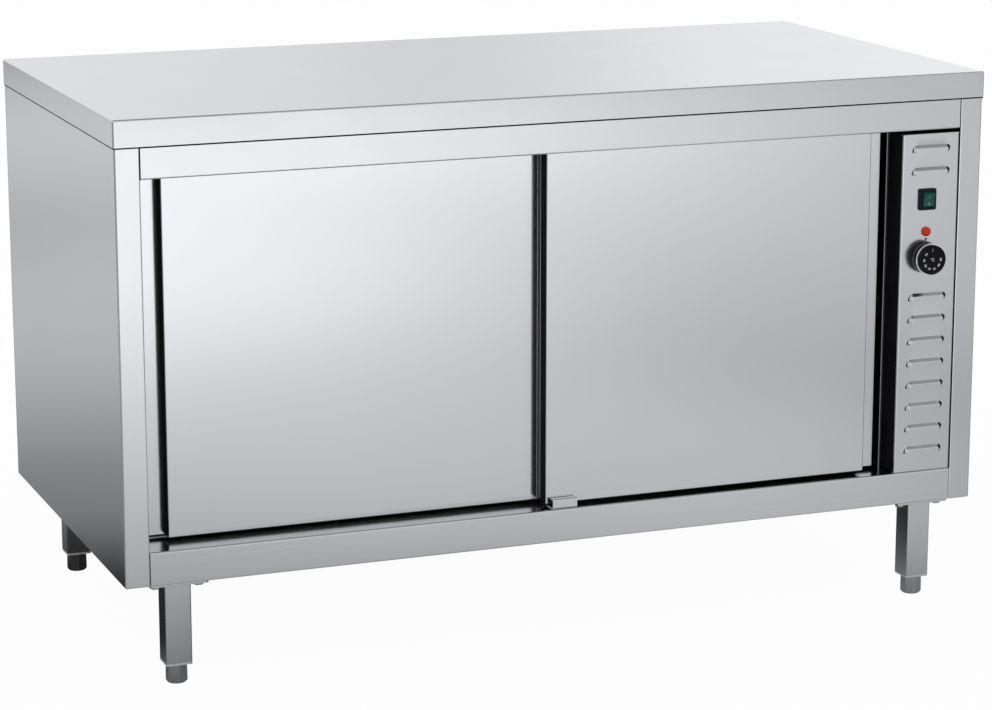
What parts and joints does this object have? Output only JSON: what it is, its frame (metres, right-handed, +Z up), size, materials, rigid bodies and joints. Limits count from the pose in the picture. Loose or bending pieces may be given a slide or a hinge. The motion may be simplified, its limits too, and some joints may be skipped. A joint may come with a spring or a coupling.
{
  "type": "hot cupboard",
  "caption": "Stainless steel catering hot cupboard on square legs, with a flat worktop, sliding doors, a shelf and a louvred control panel with switch, lamp and thermostat dial.",
  "frame": {"origin": "on the floor, below the middle of the worktop", "axes": "+X to the right seen from the front, +Y from the doors to the back, +Z up"},
  "size_m": [1.4, 0.747, 0.85],
  "materials": {
    "stainless": "satin brushed",
    "liner": "mill satin",
    "zinc": "zinc plated",
    "foot_steel": "satin",
    "aluminium": "as cast",
    "chrome": "polished",
    "copper": "drawn tube",
    "element": "heat-tinted sheath",
    "insulation": "mineral wool",
    "black_plastic": "satin",
    "grey_plastic": "moulded",
    "white_plastic": "moulded nylon",
    "green_plastic": "translucent gloss",
    "red_lens": "translucent gloss",
    "cable": "sleeved"
  },
  "bodies": {
    "cabinet": {"worktop": "stainless", "worktop_stiffeners": "zinc", "left_side_panel": "stainless", "right_side_panel": "stainless", "back_panel": "stainless", "base_pan": "zinc", "base_channels": "zinc", "bottom_rail": "stainless", "top_rail": "stainless", "door_track": "zinc", "centre_guide": "stainless", "left_liner": "liner", "back_liner": "liner", "floor_liner": "liner", "ceiling_liner": "liner", "partition": "liner", "insulation_boards": "insulation", "shelf": "liner", "shelf_brackets": "liner", "control_panel": "stainless", "switch_housing": "black_plastic", "lamp_lens": "red_lens", "lamp_body": "black_plastic", "thermostat": "zinc", "capillary_bulb": "copper", "heater_box": "zinc", "heating_element": "element", "fan_motor": "zinc", "fan_guard": "stainless", "terminal_block": "white_plastic", "wiring_loom": "cable", "cable_gland": "grey_plastic", "back_screws": "zinc", "leg_front_left": "stainless", "leg_front_right": "stainless", "leg_rear_left": "stainless", "leg_rear_right": "stainless", "leg_fasteners": "zinc", "leg_plugs": "grey_plastic"},
    "left_door": {"left_door_skin": "stainless", "left_door_back": "liner", "left_door_core": "insulation", "left_door_hangers": "zinc"},
    "right_door": {"right_door_skin": "stainless", "right_door_back": "liner", "right_door_core": "insulation", "right_door_hangers": "zinc"},
    "left_roller_a_body": {"left_roller_a": "white_plastic"},
    "left_roller_b_body": {"left_roller_b": "white_plastic"},
    "right_roller_a_body": {"right_roller_a": "white_plastic"},
    "right_roller_b_body": {"right_roller_b": "white_plastic"},
    "knob": {"thermostat_knob": "black_plastic", "knob_ring": "chrome", "thermostat_shaft": "zinc"},
    "switch_rocker": {"rocker": "green_plastic"},
    "fan": {"fan_rotor": "aluminium"},
    "front_left_foot": {"foot_front_left": "foot_steel"},
    "front_right_foot": {"foot_front_right": "foot_steel"},
    "rear_left_foot": {"foot_rear_left": "foot_steel"},
    "rear_right_foot": {"foot_rear_right": "foot_steel"}
  },
  "joints": [
    {"name": "left_door_slide", "type": "slide", "parent": "cabinet", "child": "left_door", "axis": [1, 0, 0], "range_m": [0, 0.54]},
    {"name": "right_door_slide", "type": "slide", "parent": "cabinet", "child": "right_door", "axis": [1, 0, 0], "range_m": [-0.52, 0.015]},
    {"name": "left_roller_a_spin", "type": "hinge", "parent": "left_door", "child": "left_roller_a_body", "pos_m": [-0.5595, -0.29, 0.7918], "axis": [0, 1, 0], "range_deg": [0, 3100]},
    {"name": "left_roller_b_spin", "type": "hinge", "parent": "left_door", "child": "left_roller_b_body", "pos_m": [-0.07, -0.29, 0.7918], "axis": [0, 1, 0], "range_deg": [0, 3100]},
    {"name": "right_roller_a_spin", "type": "hinge", "parent": "right_door", "child": "right_roller_a_body", "pos_m": [0.028, -0.321, 0.7918], "axis": [0, 1, 0], "range_deg": [-2985, 90]},
    {"name": "right_roller_b_spin", "type": "hinge", "parent": "right_door", "child": "right_roller_b_body", "pos_m": [0.453, -0.321, 0.7918], "axis": [0, 1, 0], "range_deg": [-2985, 90]},
    {"name": "knob_turn", "type": "hinge", "parent": "cabinet", "child": "knob", "pos_m": [0.60525, -0.3605, 0.56], "axis": [0, 1, 0], "range_deg": [0, 300]},
    {"name": "rocker_tip", "type": "hinge", "parent": "cabinet", "child": "switch_rocker", "pos_m": [0.60525, -0.35, 0.653], "axis": [-1, 0, 0], "range_deg": [0, 16]},
    {"name": "fan_spin", "type": "hinge", "parent": "cabinet", "child": "fan", "pos_m": [0.6, 0.05, 0.34], "axis": [1, 0, 0], "continuous": true},
    {"name": "front_left_foot_height", "type": "slide", "parent": "cabinet", "child": "front_left_foot", "axis": [0, 0, -1], "range_m": [0, 0.025]},
    {"name": "front_right_foot_height", "type": "slide", "parent": "cabinet", "child": "front_right_foot", "axis": [0, 0, -1], "range_m": [0, 0.025]},
    {"name": "rear_left_foot_height", "type": "slide", "parent": "cabinet", "child": "rear_left_foot", "axis": [0, 0, -1], "range_m": [0, 0.025]},
    {"name": "rear_right_foot_height", "type": "slide", "parent": "cabinet", "child": "rear_right_foot", "axis": [0, 0, -1], "range_m": [0, 0.025]}
  ],
  "couplings": [
    {"joint": "left_roller_a_spin", "follows": "left_door_slide", "rad_per_m": 100},
    {"joint": "left_roller_b_spin", "follows": "left_door_slide", "rad_per_m": 100},
    {"joint": "right_roller_a_spin", "follows": "right_door_slide", "rad_per_m": 100},
    {"joint": "right_roller_b_spin", "follows": "right_door_slide", "rad_per_m": 100}
  ]
}
